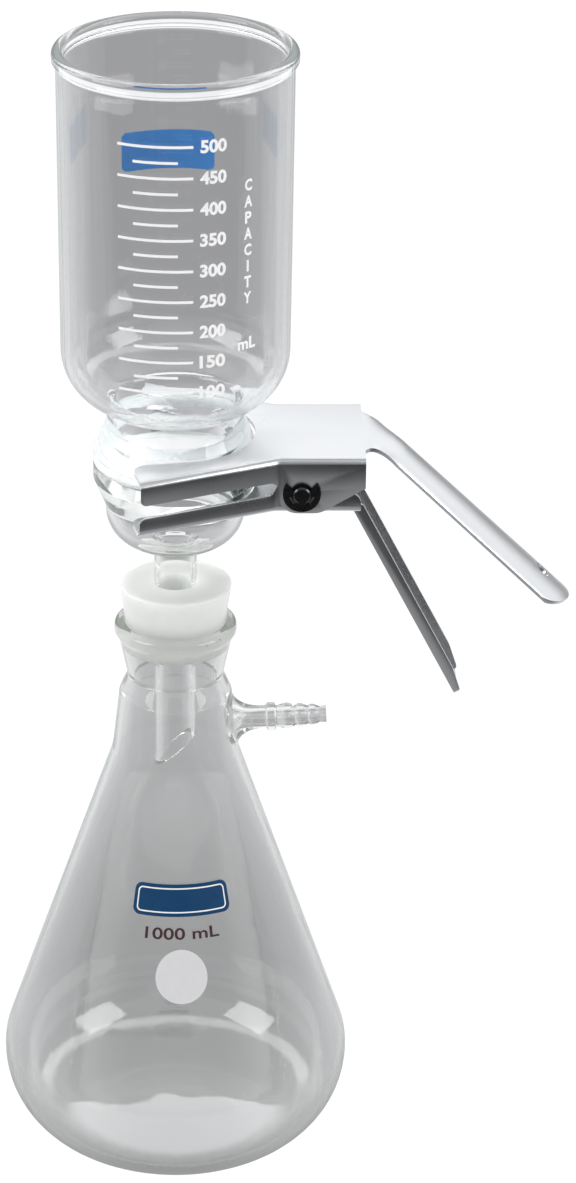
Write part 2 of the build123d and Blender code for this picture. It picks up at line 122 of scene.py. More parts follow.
def turned(outline, segments, closed):
    """Vertices, rows of vertex numbers and faces of an outline in mm turned about Z."""
    vertices, rows, faces = [], [], {}
    for point in outline:
        count = segments if point.real > 1e-6 else 1
        rows.append(list(range(len(vertices), len(vertices) + count)))
        for k in range(count):
            angle = 2 * pi * k / segments
            x, y = point.real * cos(angle), point.real * sin(angle)
            vertices.append(MM * Vector((x, y, point.imag)))
    for i in range(len(rows) if closed else len(rows) - 1):
        low, high = rows[i], rows[(i + 1) % len(rows)]
        for k in range(segments):
            ahead = (k + 1) % segments
            corners = [low[k % len(low)], low[ahead % len(low)]]
            corners += [high[ahead % len(high)], high[k % len(high)]]
            faces[i, k] = tuple(dict.fromkeys(corners))
    return vertices, rows, faces


def placed(name, data):
    """A new object in the scene, at the origin."""
    made = bpy.data.objects.new(name, data)
    bpy.context.scene.collection.objects.link(made)
    return made


def smoothed(mesh, sharp=radians(35)):
    """Shades a mesh smooth, except at the edges sharper than an angle."""
    mesh.polygons.foreach_set("use_smooth", [True] * len(mesh.polygons))
    mesh.set_sharp_from_angle(angle=sharp)


def new_piece(name, vertices, faces, material):
    """An object with its mesh at the origin, smooth except at its sharp edges."""
    mesh = bpy.data.meshes.new(name)
    mesh.from_pydata(vertices, [], list(faces))
    smoothed(mesh)
    mesh.materials.append(material)
    return placed(name, mesh)


def new_material(name):
    """An empty node material."""
    material = bpy.data.materials.new(name)
    material.use_nodes = True
    material.node_tree.nodes.clear()
    return material


def step(owner, kind, inputs=(), **settings):
    """A new node in a material, world or tree; its inputs take values or other nodes' sockets."""
    tree = getattr(owner, "node_tree", owner)
    made = tree.nodes.new(kind)
    for key, value in settings.items():
        setattr(made, key, value)
    for key, value in dict(inputs).items():
        if isinstance(value, bpy.types.NodeSocket):
            tree.links.new(value, made.inputs[key])
        else:
            made.inputs[key].default_value = value
    return made


def add(owner, kind, inputs=(), **settings):
    """A new shader or maths node, by the end of its kind's name."""
    return step(owner, "ShaderNode" + kind, inputs, **settings)


def maths(owner, operation, first, second=0.0):
    """The result of a maths node on two values or sockets."""
    return add(owner, "Math", {0: first, 1: second}, operation=operation).outputs[0]


def own_place(material, stretch=None):
    """A piece's own coordinates, stretched along each axis where that is asked for."""
    place = add(material, "TexCoord").outputs["Object"]
    if stretch:
        place = add(material, "Mapping", {"Vector": place, "Scale": stretch}).outputs[0]
    return place


def noise(material, scale, detail=2.0, roughness=0.5, stretch=None, kind="TexNoise"):
    """Noise, or another such pattern, on a piece's own coordinates."""
    place = own_place(material, stretch)
    inputs = {"Vector": place, "Scale": scale, "Detail": detail, "Roughness": roughness}
    return add(material, kind, inputs).outputs[0]


def between(owner, value, low, high, start=0.0, end=1.0, **settings):
    """A value moved from its own range into another one."""
    return add(owner, "MapRange", {
        "Value": value, "From Min": start, "From Max": end, "To Min": low, "To Max": high,
    }, **settings).outputs[0]


def bumped(material, height, strength, depth, **before):
    """The normal of a skin with small bumps, on top of those before."""
    return add(material, "Bump", {
        "Height": height, "Strength": strength, "Distance": depth, **before,
    }).outputs[0]


def pick(owner, chance, first, second):
    """The second shader where a value is one, and the first where it is nothing."""
    return add(owner, "MixShader", {0: chance, 1: first, 2: second}).outputs[0]


def glow(owner, colour, strength, kind="Emission"):
    """A shader that gives off even light."""
    return add(owner, kind, {"Color": (*colour, 1.0), "Strength": strength}).outputs[0]


def glass(name, tint, density, wave, drawn=0.0):
    """Clear glass with waves and drawn lines in its skin, and a tint that shows at its edges.

    Lamps shine through it, and after more than two reflections inside its walls a painted glow of
    even, pale tone stands in for its light.
    """
    material = new_material(name)
    swirl = noise(material, scale=45.0, detail=1.5, roughness=0.4)
    lines = noise(material, scale=1.0, stretch=DRAWN_LINES)
    smears = noise(material, scale=160.0, detail=3.0)
    waves = bumped(material, swirl, strength=wave, depth=0.0006)
    skin = add(material, "BsdfPrincipled", {
        "Base Color": (*WHITE, 1.0), "Transmission Weight": 1.0, "IOR": GLASS_IOR,
        "Roughness": between(material, smears, 0.0, 0.035, start=0.45, end=0.8),
        "Normal": bumped(material, lines, strength=drawn, depth=0.0005, Normal=waves),
    }).outputs[0]
    path = add(material, "LightPath").outputs
    # painted light: after more than two reflections inside the glass, an even pale glow takes the
    # place of its skin
    painted_glow_mask = maths(material, "GREATER_THAN", path["Glossy Depth"], PAINTED_GLOW_AFTER)
    light = pick(material, painted_glow_mask, skin, glow(material, (0.92, 0.98, 0.95), 0.33))
    clear = add(material, "BsdfTransparent", {"Color": (0.975, 0.98, 0.975, 1.0)}).outputs[0]
    inside = add(material, "VolumeAbsorption", {"Color": (*tint, 1.0), "Density": density})
    add(material, "OutputMaterial", {
        "Surface": pick(material, path["Is Shadow Ray"], light, clear),
        "Volume": inside.outputs[0],
    })
    return material


def wall_z(radius, inset):
    """Height at which the flask's sloping wall, set in by inset, has this radius."""
    return (SLOPE_FOOT - inset / cos(SLOPE) - radius) / tan(SLOPE)


def mouth_radius(z):
    """Radius of the flask's ground mouth, which has the stopper's taper."""
    taper = (STOPPER_TOP_RADIUS - STOPPER_BOTTOM_RADIUS) / (stopper_high - stopper_low)
    return STOPPER_BOTTOM_RADIUS + (z - stopper_low) * taper


def crossing(run, z):
    """The point at which an outline first passes this height."""
    for here, ahead in zip(run, run[1:]):
        low, high = sorted((here.imag, ahead.imag))
        if low <= z <= high and low != high:
            return here + (ahead - here) * (z - here.imag) / (ahead.imag - here.imag)


def at_levels(run, levels):
    """An outline whose points from the first level to the last lie on the levels themselves."""
    margin = 0.6
    low, high = min(levels) - margin, max(levels) + margin
    moved = [i for i, point in enumerate(run) if low < point.imag < high]
    return run[:moved[0]] + [crossing(run, z) for z in levels] + run[moved[-1] + 1:]


def first_at(run, z):
    """The number of an outline's first point at this height."""
    return next(i for i, point in enumerate(run) if abs(point.imag - z) < 1e-6)


def hole_edge(rows, half):
    """Vertex numbers round a square hole about +X, from its lowest corner at -Y."""
    edge = [rows[0][k] for k in range(-half, half)]
    edge += [row[half] for row in rows[:-1]]
    edge += [rows[-1][k] for k in range(half, -half, -1)]
    edge += [row[-half] for row in rows[:0:-1]]
    return edge


def arm_point(along, across, angle):
    """A point of the side arm from its own length, radius and angle, in mm."""
    up = across * sin(angle)
    x = along * cos(ARM_TILT) - up * sin(ARM_TILT)
    z = ARM_Z + along * sin(ARM_TILT) + up * cos(ARM_TILT)
    return Vector((x, across * cos(angle), z))


def on_wall(run, across, angle):
    """How far along the arm its skin of this radius meets a wall of the flask."""
    along = SHOULDER_RADIUS
    for _ in range(5):
        point = arm_point(along, across, angle)
        radius = crossing(run, point.z).real
        along += (sqrt(radius ** 2 - point.y ** 2) - point.x) / cos(ARM_TILT)
    return along


def flare(run, root, angle, end, steps=12):
    """A smooth curve from a wall of the flask to the arm's skin, as (along, across) points."""
    start = complex(on_wall(run, root, angle), root)
    inwards = complex(on_wall(run, root - 0.2, angle), root - 0.2) - start
    first = start + inwards / abs(inwards) * (root - end.imag) * WALL_SHARE
    second = end - (end.real - start.real) * TUBE_SHARE
    points = []
    for t in (k / steps for k in range(steps + 1)):
        middle = first * (1 - t) + second * t
        points.append(start * (1 - t) ** 3 + 3 * middle * t * (1 - t) + end * t ** 3)
    return points


def flask_outline():
    """The flask's section without its arm, outside and then inside, each from the foot's side."""
    waist = SHOULDER_RADIUS + 2.6
    inner, inner_waist = FLASK_RADIUS - FLASK_WALL, waist - FLASK_WALL
    outside = [
        (0, PUNT_RISE, 0),
        (PUNT_RADIUS, 0, 4),
        (FLASK_RADIUS, 0, HEEL),
        (FLASK_RADIUS, wall_z(FLASK_RADIUS, 0), 25),
        (waist, wall_z(waist, 0), 25),
        (SHOULDER_RADIUS, SHOULDER_Z, 5),
        (NECK_RADIUS, NECK_Z, 1),
        (LIP_RADIUS - 1.6, FLASK_TOP - LIP_HEIGHT - 1.6, 1),
        (LIP_RADIUS, FLASK_TOP - LIP_HEIGHT + 0.6, 1.2),
        (LIP_RADIUS, FLASK_TOP, 2.1),
    ]
    inside = [
        (mouth_radius(FLASK_TOP), FLASK_TOP, 1.2),
        (mouth_radius(NECK_Z), NECK_Z, 3),
        (SHOULDER_RADIUS - FLASK_WALL, SHOULDER_Z - 1.5, 2.6),
        (inner_waist, wall_z(inner_waist, FLASK_WALL), 25),
        (inner, wall_z(inner, FLASK_WALL), 22),
        (inner, FLASK_WALL, HEEL - FLASK_WALL),
        (PUNT_RADIUS, FLASK_WALL, 5),
        (0, FLASK_WALL + PUNT_RISE, 0),
    ]
    points = evened(rounded(outside + inside), 2.2)
    top = max(range(len(points)), key=lambda i: (points[i].imag, points[i].real))
    return points[:top], points[top:]


def flask_mesh(segments=160, half_hole=14, half_levels=6):
    """The flask with its arm drawn out of a hole in both walls, as one closed skin."""
    levels = [ARM_Z + HOLE_STEP * k for k in range(-half_levels, half_levels + 1)]
    inner_levels = [ARM_Z + THROAT_STEP * k for k in range(half_levels, -half_levels - 1, -1)]
    plain_outside, plain_inside = flask_outline()
    outside, inside = at_levels(plain_outside, levels), at_levels(plain_inside, inner_levels)
    vertices, rows, faces = turned(outside + inside, segments, closed=False)
    first = first_at(outside, levels[0])
    inner_first = len(outside) + first_at(inside, inner_levels[0])
    for row in range(2 * half_levels):
        for k in range(-half_hole, half_hole):
            del faces[first + row, k % segments], faces[inner_first + row, k % segments]
    edge = hole_edge(rows[first:first + 2 * half_levels + 1], half_hole)
    inner_edge = hole_edge(rows[inner_first:inner_first + 2 * half_levels + 1][::-1], half_hole)

    def seen_along_arm(number):
        """Radius and angle about the arm's axis of one of the vertices."""
        point = vertices[number] / MM
        up = (point.z - ARM_Z) * cos(ARM_TILT) - point.x * sin(ARM_TILT)
        return hypot(point.y, up), atan2(up, point.y)

    barb = [
        (ARM_START, ARM_RADIUS, 0),
        (COLLAR_X - 0.6, ARM_RADIUS, 0.5),
        (COLLAR_X, COLLAR_RADIUS, 0.4),
        (COLLAR_X + COLLAR_LENGTH, COLLAR_RADIUS, 0.4),
        (COLLAR_X + COLLAR_LENGTH + 0.6, ARM_RADIUS - 0.3, 0.4),
    ]
    for x, radius in BARB_RINGS:
        barb += [(x - 0.5, radius, 0.35), (x + 0.4, radius, 0.35), (x + 2.8, radius - 1.0, 0.2)]
    barb += [
        (ARM_TIP_X, ARM_TIP_RADIUS + 0.1, 0.25),
        (ARM_TIP_X, ARM_BORE, 0.2),
        (BORE_START, ARM_BORE, 0),
    ]
    tube = evened(rounded(barb, radians(15)), 1.4)

    def skirt(run, root, wide, angle):
        """Points on a wall of the flask from the arm's root out to the edge of the hole."""
        across = [root * (1 - t) + wide * t for t in (0.25, 0.5, 0.75)]
        return [complex(on_wall(run, radius, angle), radius) for radius in across]

    columns = []
    for number, inner_number in zip(edge, inner_edge):
        wide, angle = seen_along_arm(number)
        column = skirt(plain_outside, ARM_ROOT, wide, angle)[::-1]
        column += flare(plain_outside, ARM_ROOT, angle, tube[0])[:-1] + tube[:-1]
        inner_wide, inner_angle = seen_along_arm(inner_number)
        throat = flare(plain_inside, THROAT_ROOT, inner_angle, tube[-1])[::-1]
        throat += skirt(plain_inside, THROAT_ROOT, inner_wide, inner_angle)
        columns.append([(point.real, point.imag, angle) for point in column]
                       + [(point.real, point.imag, inner_angle) for point in throat])
    rings = [edge]
    for ring in zip(*columns):
        rings.append(list(range(len(vertices), len(vertices) + len(ring))))
        vertices += [MM * arm_point(*place) for place in ring]
    rings.append(inner_edge)
    skin = list(faces.values())
    for here, ahead in zip(rings, rings[1:]):
        for k in range(len(edge)):
            skin.append((here[k - 1], here[k], ahead[k], ahead[k - 1]))
    return vertices, skin


flask_glass = glass("flask_glass", tint=(0.80, 0.87, 0.72), density=13.0, wave=0.10, drawn=0.10)
flask = new_piece("flask_body", *flask_mesh(), flask_glass)
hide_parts("flask")
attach(flask, "filter_assembly")


# ---- Marks fired onto the flask ----------------------------------------------
# A plain blue panel, the capacity in brown stain and a matt white spot to write on.
# Each is a thin layer of ceramic enamel, screened onto the outside of the sloping wall.

INK, INK_LIFT = 0.06, 0.01   # thickness of a layer, and how far it stands off the glass
PANEL_WIDTH, PANEL_HEIGHT, PANEL_CORNER, PANEL_Z = 35.5, 11.4, 2.6, 117.6
PANEL_ANGLE = 0.06
CAPACITY_WIDTH, CAPACITY_HEIGHT, CAPACITY_WEIGHT, CAPACITY_Z = 27.5, 4.2, 0.015, 105.9
SPOT_RADIUS, SPOT_Z, SPOT_ANGLE = 9.6, 90.7, 0.047


def flat_shape(outline, hole=None):
    """A flat sheet of ink in mm, or a frame of ink where it has a hole."""
    made = bmesh.new()

    def ring(points):
        """New vertices at an outline's points."""
        return [made.verts.new((point.real, point.imag, 0)) for point in points]

    rim = ring(outline)
    if hole:
        inner = ring(hole)
        for k in range(len(rim)):
            made.faces.new((rim[k - 1], rim[k], inner[k], inner[k - 1]))
    else:
        made.faces.new(rim)
    return made


def evaluated(made):
    """A new mesh of an object as its curve or its modifiers shape it."""
    seen = made.evaluated_get(bpy.context.evaluated_depsgraph_get())
    return bpy.data.meshes.new_from_object(seen)


def lettering(text, width, height, weight):
    """Letters as a flat sheet of ink in mm, fitted to a width and height about their middle.

    The weight is how far their outlines move outwards, as a share of the letters' size.
    """
    curve = bpy.data.curves.new("letters", "FONT")
    curve.body = text
    curve.resolution_u = 6
    letters = placed("letters", curve)
    mesh = evaluated(letters)
    made = bmesh.new()
    made.from_mesh(mesh)
    bpy.data.objects.remove(letters)
    bpy.data.meshes.remove(mesh)
    bmesh.ops.remove_doubles(made, verts=made.verts, dist=1e-5)
    outward = {}
    for edge in made.edges:
        if len(edge.link_faces) == 1:
            side = edge.verts[1].co - edge.verts[0].co
            side = Vector((side.y, -side.x, 0)).normalized()
            if side.dot(edge.link_faces[0].calc_center_median() - edge.verts[0].co) > 0:
                side = -side
            for v in edge.verts:
                outward.setdefault(v, []).append(side)
    for v, sides in outward.items():
        way = sum(sides, Vector())
        v.co += weight * way / max(0.5, way.dot(sides[0]))
    for axis, size in enumerate((width, height)):
        places = [v.co[axis] for v in made.verts]
        low, high = min(places), max(places)
        for v in made.verts:
            v.co[axis] = (v.co[axis] - (low + high) / 2) * size / (high - low)
    return made


def fired_on(name, sheets, radius_at, material, strip=1.2):
    """One piece of ink from (sheet, angle, height) sheets, thickened and bent round a wall.

    Each sheet is cut into narrow strips first, so that it can follow the wall closely.
    """
    whole = bmesh.new()
    for sheet, angle, middle_z in sheets:
        reach = max(abs(v.co.x) for v in sheet.verts)
        for k in range(-ceil(reach / strip), ceil(reach / strip) + 1):
            everything = list(sheet.verts) + list(sheet.edges) + list(sheet.faces)
            cut = {"plane_co": (k * strip, 0, 0), "plane_no": (1, 0, 0), "dist": 1e-5}
            bmesh.ops.bisect_plane(sheet, geom=everything, **cut)
        for face in sheet.faces:
            face.normal_update()
            if face.normal.z < 0:
                face.normal_flip()
        raised = bmesh.ops.extrude_face_region(sheet, geom=list(sheet.faces), use_keep_orig=True)
        top = {v for v in raised["geom"] if isinstance(v, bmesh.types.BMVert)}
        under = [face for face in sheet.faces if not any(v in top for v in face.verts)]
        bmesh.ops.reverse_faces(sheet, faces=under)
        for v in sheet.verts:
            z = middle_z + v.co.y
            radius = radius_at(z) + (INK if v in top else INK_LIFT)
            turn = angle + v.co.x / radius_at(middle_z)
            v.co = MM * Vector((radius * sin(turn), -radius * cos(turn), z))
        part = bpy.data.meshes.new(name)
        sheet.to_mesh(part)
        whole.from_mesh(part)
        bpy.data.meshes.remove(part)
        sheet.free()
    mesh = bpy.data.meshes.new(name)
    bmesh.ops.recalc_face_normals(whole, faces=whole.faces)
    whole.to_mesh(mesh)
    whole.free()
    mesh.materials.append(material)
    made = placed(name, mesh)
    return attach(made, "filter_assembly")


def finished(material, pattern, colours, roughness, bump=None, grain=None, more=()):
    """A plain finish: a pattern takes it between two colours and between two roughnesses.

    An even roughness is one number. The bumps, given by their strength and depth, follow a
    grain of their own or else the pattern.
    """
    value = noise(material, **pattern)
    first, second = colours
    mixed = {"Factor": value, "A": (*first, 1.0), "B": (*second, 1.0)}
    if isinstance(roughness, tuple):
        roughness = between(material, value, *roughness)
    inputs = {
        "Base Color": add(material, "Mix", mixed, data_type="RGBA").outputs["Result"],
        "Roughness": roughness,
        **dict(more),
    }
    if bump:
        inputs["Normal"] = bumped(material, noise(material, **grain) if grain else value, *bump)
    skin = add(material, "BsdfPrincipled", inputs)
    add(material, "OutputMaterial", {"Surface": skin.outputs[0]})
    return material


def enamel(name, colour, worn, roughness):
    """Fired enamel: nearly even, with a faint mottle and the grain left by its screen."""
    return finished(
        new_material(name), {"scale": 420.0, "detail": 4.0}, (colour, worn),
        (roughness - 0.08, roughness + 0.08), bump=(0.3, 0.00003), grain={"scale": 2600.0},
        more={"Specular IOR Level": 0.2})


def frame_outline(width, height, corner):
    """A rectangle with rounded corners about its middle."""
    x, y = width / 2, height / 2
    corners = [(-x, -y, corner), (x, -y, corner), (x, y, corner), (-x, y, corner)]
    return rounded(corners, chord=radians(10))


def slope_radius(z):
    """Radius of the flask's sloping wall."""
    return SLOPE_FOOT - z * tan(SLOPE)


blue_enamel = enamel("blue_enamel", (0.002, 0.036, 0.105), (0.005, 0.050, 0.135), 0.42)
bright_enamel = enamel("bright_blue_enamel", (0.018, 0.170, 0.480), (0.030, 0.200, 0.540), 0.42)
brown_stain = enamel("brown_stain", (0.045, 0.018, 0.020), (0.065, 0.030, 0.032), 0.5)
white_enamel = enamel("white_enamel", (0.74, 0.74, 0.74), (0.80, 0.80, 0.80), 0.45)
spot_enamel = enamel("spot_enamel", (0.54, 0.54, 0.55), (0.58, 0.58, 0.59), 0.6)

KEYLINE_INSET, KEYLINE_WIDTH = 1.3, 0.45
width, height = PANEL_WIDTH - 2 * KEYLINE_INSET, PANEL_HEIGHT - 2 * KEYLINE_INSET
corner = PANEL_CORNER - KEYLINE_INSET + 0.4
panel = flat_shape(frame_outline(PANEL_WIDTH, PANEL_HEIGHT, PANEL_CORNER))
keyline = flat_shape(
    frame_outline(width, height, corner),
    hole=frame_outline(
        width - 2 * KEYLINE_WIDTH, height - 2 * KEYLINE_WIDTH, corner - KEYLINE_WIDTH))
capacity = lettering("1000 mL", CAPACITY_WIDTH, CAPACITY_HEIGHT, CAPACITY_WEIGHT)
spot = flat_shape([SPOT_RADIUS * cmath.exp(2j * pi * k / 64) for k in range(64)])

fired_on("flask_panel", [(panel, PANEL_ANGLE, PANEL_Z)], slope_radius, blue_enamel)
fired_on("flask_panel_line", [(keyline, PANEL_ANGLE, PANEL_Z)],
         lambda z: slope_radius(z) + INK, white_enamel)
fired_on("flask_capacity", [(capacity, PANEL_ANGLE, CAPACITY_Z)], slope_radius, brown_stain)
fired_on("flask_spot", [(spot, SPOT_ANGLE, SPOT_Z)], slope_radius, spot_enamel)


# ---- Seeds in the flask's lip ------------------------------------------------
# Tiny gas bubbles caught in the thick glass of the rolled lip, where hot glass folds over itself.
# They are scattered round the lip by a node tree with a fixed seed.

SEED_COUNT, SEED_NUMBER = 26, 5
SEED_RING_RADIUS, SEED_Z, SEED_SPREAD = 20.55, 211.4, 0.75
SMALLEST_SEED, LARGEST_SEED = 0.07, 0.20


def new_tree(name, inputs):
    """A geometry node tree with these named inputs, and the sockets that carry them."""
    tree = bpy.data.node_groups.new(name, "GeometryNodeTree")
    tree.interface.new_socket("Geometry", in_out="OUTPUT", socket_type="NodeSocketGeometry")
    for label, kind in inputs.items():
        tree.interface.new_socket(label, in_out="INPUT", socket_type="NodeSocket" + kind)
    return tree, tree.nodes.new("NodeGroupInput").outputs


def geometry(tree, kind, inputs, **settings):
    """What a geometry node makes, by the end of its kind's name."""
    return step(tree, "GeometryNode" + kind, inputs, **settings).outputs[0]


def coated(tree, shape, material):
    """The tree itself, with a shape in this material as its result."""
    shape = geometry(tree, "SetMaterial", {"Geometry": shape, "Material": material})
    step(tree, "NodeGroupOutput", {"Geometry": shape})
    return tree


def vector(tree, **sides):
    """A vector from values or sockets for its X, Y and Z."""
    return add(tree, "CombineXYZ", sides).outputs[0]


def grown(name, tree, start, values):
    """A plain mesh object made by a geometry tree from a start mesh and its named inputs."""
    made = placed(name, start)
    modifier = made.modifiers.new("tree", "NODES")
    modifier.node_group = tree
    for item in tree.interface.items_tree:
        if item.in_out == "INPUT" and item.name in values:
            modifier[item.identifier] = values[item.name]
    mesh = evaluated(made)
    made.modifiers.clear()
    made.data = mesh
    mesh.name = name
    return made


def seeds_tree():
    """Small spheres at random places in a ring, with random sizes."""
    tree, value = new_tree("lip_seeds", {
        "Count": "Int", "Ring Radius": "Float", "Height": "Float", "Spread": "Float",
        "Smallest": "Float", "Largest": "Float", "Seed": "Int", "Material": "Material",
    })

    def random(low, high, shift):
        """A random number for each point; its shift sets it apart from the other draws."""
        seed = maths(tree, "ADD", value["Seed"], shift)
        made = step(tree, "FunctionNodeRandomValue", {2: low, 3: high, 8: seed}, data_type="FLOAT")
        return made.outputs[1]

    turn = random(0.0, 2 * pi, 1)
    spread = value["Spread"]
    off = random(maths(tree, "MULTIPLY", spread, -1.0), spread, 2)
    rise = random(maths(tree, "MULTIPLY", spread, -1.0), spread, 3)
    radius = maths(tree, "ADD", value["Ring Radius"], off)
    place = vector(
        tree,
        X=maths(tree, "MULTIPLY", radius, maths(tree, "SINE", turn)),
        Y=maths(tree, "MULTIPLY", radius, maths(tree, "COSINE", turn)),
        Z=maths(tree, "ADD", value["Height"], rise))
    balls = geometry(tree, "InstanceOnPoints", {
        "Points": geometry(tree, "Points", {"Count": value["Count"], "Position": place}),
        "Instance": geometry(tree, "MeshIcoSphere", {"Radius": 1.0, "Subdivisions": 3}),
        "Scale": random(value["Smallest"], value["Largest"], 4),
    })
    real = geometry(tree, "RealizeInstances", {"Geometry": balls})
    smooth = geometry(tree, "SetShadeSmooth", {"Geometry": real})
    return coated(tree, smooth, value["Material"])


# the bright, mirror-like skin that a gas bubble shows inside glass, uneven in tone
seed_skin = finished(
    new_material("seed_skin"), {"scale": 3000.0}, ((0.10, 0.11, 0.10), (0.55, 0.58, 0.55)),
    roughness=0.15)
seeds = grown("lip_seeds", seeds_tree(), bpy.data.meshes.new("lip_seeds"), {
    "Count": SEED_COUNT, "Ring Radius": SEED_RING_RADIUS * MM, "Height": SEED_Z * MM,
    "Spread": SEED_SPREAD * MM, "Smallest": SMALLEST_SEED * MM, "Largest": LARGEST_SEED * MM,
    "Seed": SEED_NUMBER, "Material": seed_skin,
})
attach(seeds, "filter_assembly")


# ---- Stopper -----------------------------------------------------------------
# A moulded silicone stopper with one hole, milky white and slightly translucent.
# It is pushed into the flask's ground mouth and gripped by the stem of the filter base.

STEM_RADIUS = 7.7
GRIP = 0.03                  # how far soft or fused pieces sink into the glass that they touch
TOP_GAP = 0.02               # how far the stopper's top stays below its height in the CAD


def ramp(owner, value, start, end, low, high):
    """A value turned smoothly from low to high between two of its own values."""
    return between(owner, value, low, high, start, end, interpolation_type="SMOOTHSTEP")


def total(owner, *parts):
    """Values or sockets added together."""
    return reduce(lambda so_far, part: maths(owner, "ADD", so_far, part), parts)


def product(owner, *factors):
    """Values or sockets multiplied together."""
    return reduce(lambda so_far, factor: maths(owner, "MULTIPLY", so_far, factor), factors)


def distance(owner, first, second):
    """The length of a flat step made of two sockets."""
    squares = [product(owner, side, side) for side in (first, second)]
    return maths(owner, "SQRT", total(owner, *squares))


def silicone():
    """Milky translucent rubber with a dull, very fine moulded skin, and a painted glow round its
    bore.
    """
    material = new_material("milky_silicone")
    side = add(material, "SeparateXYZ", {0: own_place(material)}).outputs
    out = distance(material, side["X"], side["Y"])
    # painted glow: strongest at the bore round the stem and fading to nothing at the rim, so that
    # the bore looks lit
    shine = ramp(material, out, MM * STEM_RADIUS, MM * STOPPER_TOP_RADIUS, 0.15, 0.0)
    return finished(
        material, {"scale": 70.0, "detail": 3.0}, ((0.60, 0.61, 0.60), (0.66, 0.67, 0.66)),
        roughness=(0.38, 0.52), bump=(0.25, 0.00004), grain={"scale": 1500.0, "detail": 3.0},
        more={
            "IOR": 1.41, "Emission Color": (1.0, 1.0, 0.98, 1.0), "Emission Strength": shine,
            "Subsurface Weight": 1.0, "Subsurface Radius": (1.0, 1.0, 0.97),
            "Subsurface Scale": 0.012,
        })


def turned_piece(name, corners, material, segments=128, longest=3.0, closed=True):
    """A solid turned piece from (radius, height, rounding) corners in mm.

    Its outline is a closed one, or else it sets out from the axis and comes back to it.
    """
    outline = evened(rounded(corners), longest, closed)
    vertices, _, faces = turned(outline, segments, closed)
    return new_piece(name, vertices, faces.values(), material)


stopper = turned_piece("stopper_body", [
    (STEM_RADIUS - GRIP, stopper_low, 0.3),
    (STOPPER_BOTTOM_RADIUS + GRIP, stopper_low, 0.8),
    (STOPPER_TOP_RADIUS + GRIP, stopper_high - TOP_GAP, 0.8),
    (STEM_RADIUS - GRIP, stopper_high - TOP_GAP, 0.3),
], silicone())
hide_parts("stopper")
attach(stopper, "filter_assembly")


# ---- Filter base -------------------------------------------------------------
# Borosilicate glass worked by hand: a heavy ground flange on a round bowl, drawn down into a stem.
# The stem passes through the stopper; its slanted tip sheds the filtrate away from the side arm.

base_low, base_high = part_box("filter_base")
FLANGE_RADIUS, JOINT_Z = base_high.x / MM, base_high.z / MM
STEM_TIP_Z, STEM_TIP_SLOPE, STEM_TIP_LENGTH = base_low.z / MM, radians(42), 16.0
FLANGE_THICKNESS = 6.0
STEM_BORE = 5.9
DISC_RADIUS, DISC_THICKNESS = 20.0, 4.0
FACE_GAP = 0.04              # how far a ground face stands off the membrane between the flanges


def slanted(vertices):
    """Shears the lowest part of the stem up to the plane of its slanted tip."""
    for vertex in vertices:
        height = vertex.z / MM - STEM_TIP_Z
        if height < STEM_TIP_LENGTH:
            share = 1 - max(0.0, height) / STEM_TIP_LENGTH
            vertex.z += share * (vertex.x + STEM_RADIUS * MM) * tan(STEM_TIP_SLOPE)


def grind(piece, z, inner, outer):
    """Gives the flat faces at one height, between two radii, the ground finish."""
    piece.data.materials.append(ground_glass)
    for face in piece.data.polygons:
        middle = face.center / MM
        if abs(middle.z - z) < 0.02 and inner < hypot(middle.x, middle.y) < outer:
            face.material_index = len(piece.data.materials) - 1


# a face ground flat with fine abrasive: white and matt, with its glass showing through
ground_glass = finished(
    new_material("ground_glass"), {"scale": 2200.0, "detail": 3.0},
    ((0.80, 0.82, 0.82), (0.90, 0.92, 0.92)), roughness=0.7, bump=(0.5, 0.00005),
    more={"IOR": GLASS_IOR, "Transmission Weight": 0.25})
seat_z = JOINT_Z - DISC_THICKNESS
base_section = [
    (STEM_RADIUS, STEM_TIP_Z, 0.5),
    (STEM_RADIUS, 243.5, 3.5),
    (24.6, 248.5, 14),
    (25.2, 261, 4),
    (FLANGE_RADIUS, JOINT_Z - FLANGE_THICKNESS, 0.8),
    (FLANGE_RADIUS, JOINT_Z - FACE_GAP, 0.4),
    (DISC_RADIUS, JOINT_Z - FACE_GAP, 0),
    (DISC_RADIUS, seat_z, 0),
    (DISC_RADIUS - 2.2, seat_z, 0.4),
    (22.2, 262, 4),
    (21.8, 251, 11),
    (STEM_BORE, 246.3, 3),
    (STEM_BORE, STEM_TIP_Z, 0.4),
]
base_glass = glass("base_glass", tint=(0.84, 0.92, 0.86), density=12.0, wave=0.12)
outline = evened(rounded(base_section), 2.0, closed=True)
vertices, _, faces = turned(outline, 144, closed=True)
slanted(vertices)
base = new_piece("filter_base_body", vertices, faces.values(), base_glass)
grind(base, JOINT_Z - FACE_GAP, DISC_RADIUS, FLANGE_RADIUS)
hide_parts("filter_base")
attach(base, "filter_assembly")


# ---- Fritted disc ------------------------------------------------------------
# Crushed glass sintered into a porous white disc, and fused into the mouth of the filter base.

DISC_GAP = 0.01              # how far the disc's top stays below the membrane

# granular, matt and white, with a little light let into it
sintered_glass = finished(
    new_material("sintered_glass"), {"scale": 2400.0, "detail": 0.0, "kind": "TexVoronoi"},
    ((0.93, 0.94, 0.94), (0.80, 0.82, 0.82)), roughness=0.6, bump=(0.6, 0.00012),
    more={"Subsurface Weight": 0.3, "Subsurface Radius": WHITE, "Subsurface Scale": 0.002})
disc = turned_piece("fritted_disc_body", [
    (0, seat_z - GRIP, 0),
    (DISC_RADIUS + GRIP, seat_z - GRIP, 0),
    (DISC_RADIUS + GRIP, JOINT_Z - DISC_GAP, 0),
    (0, JOINT_Z - DISC_GAP, 0),
], sintered_glass, longest=2.0, closed=False)
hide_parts("fritted_disc")
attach(disc, "filter_assembly")


# ---- Membrane filter ---------------------------------------------------------
# A 47 mm disc of cellulose membrane, thinner than paper, lying on the fritted disc.
# The funnel's foot holds it down all round.


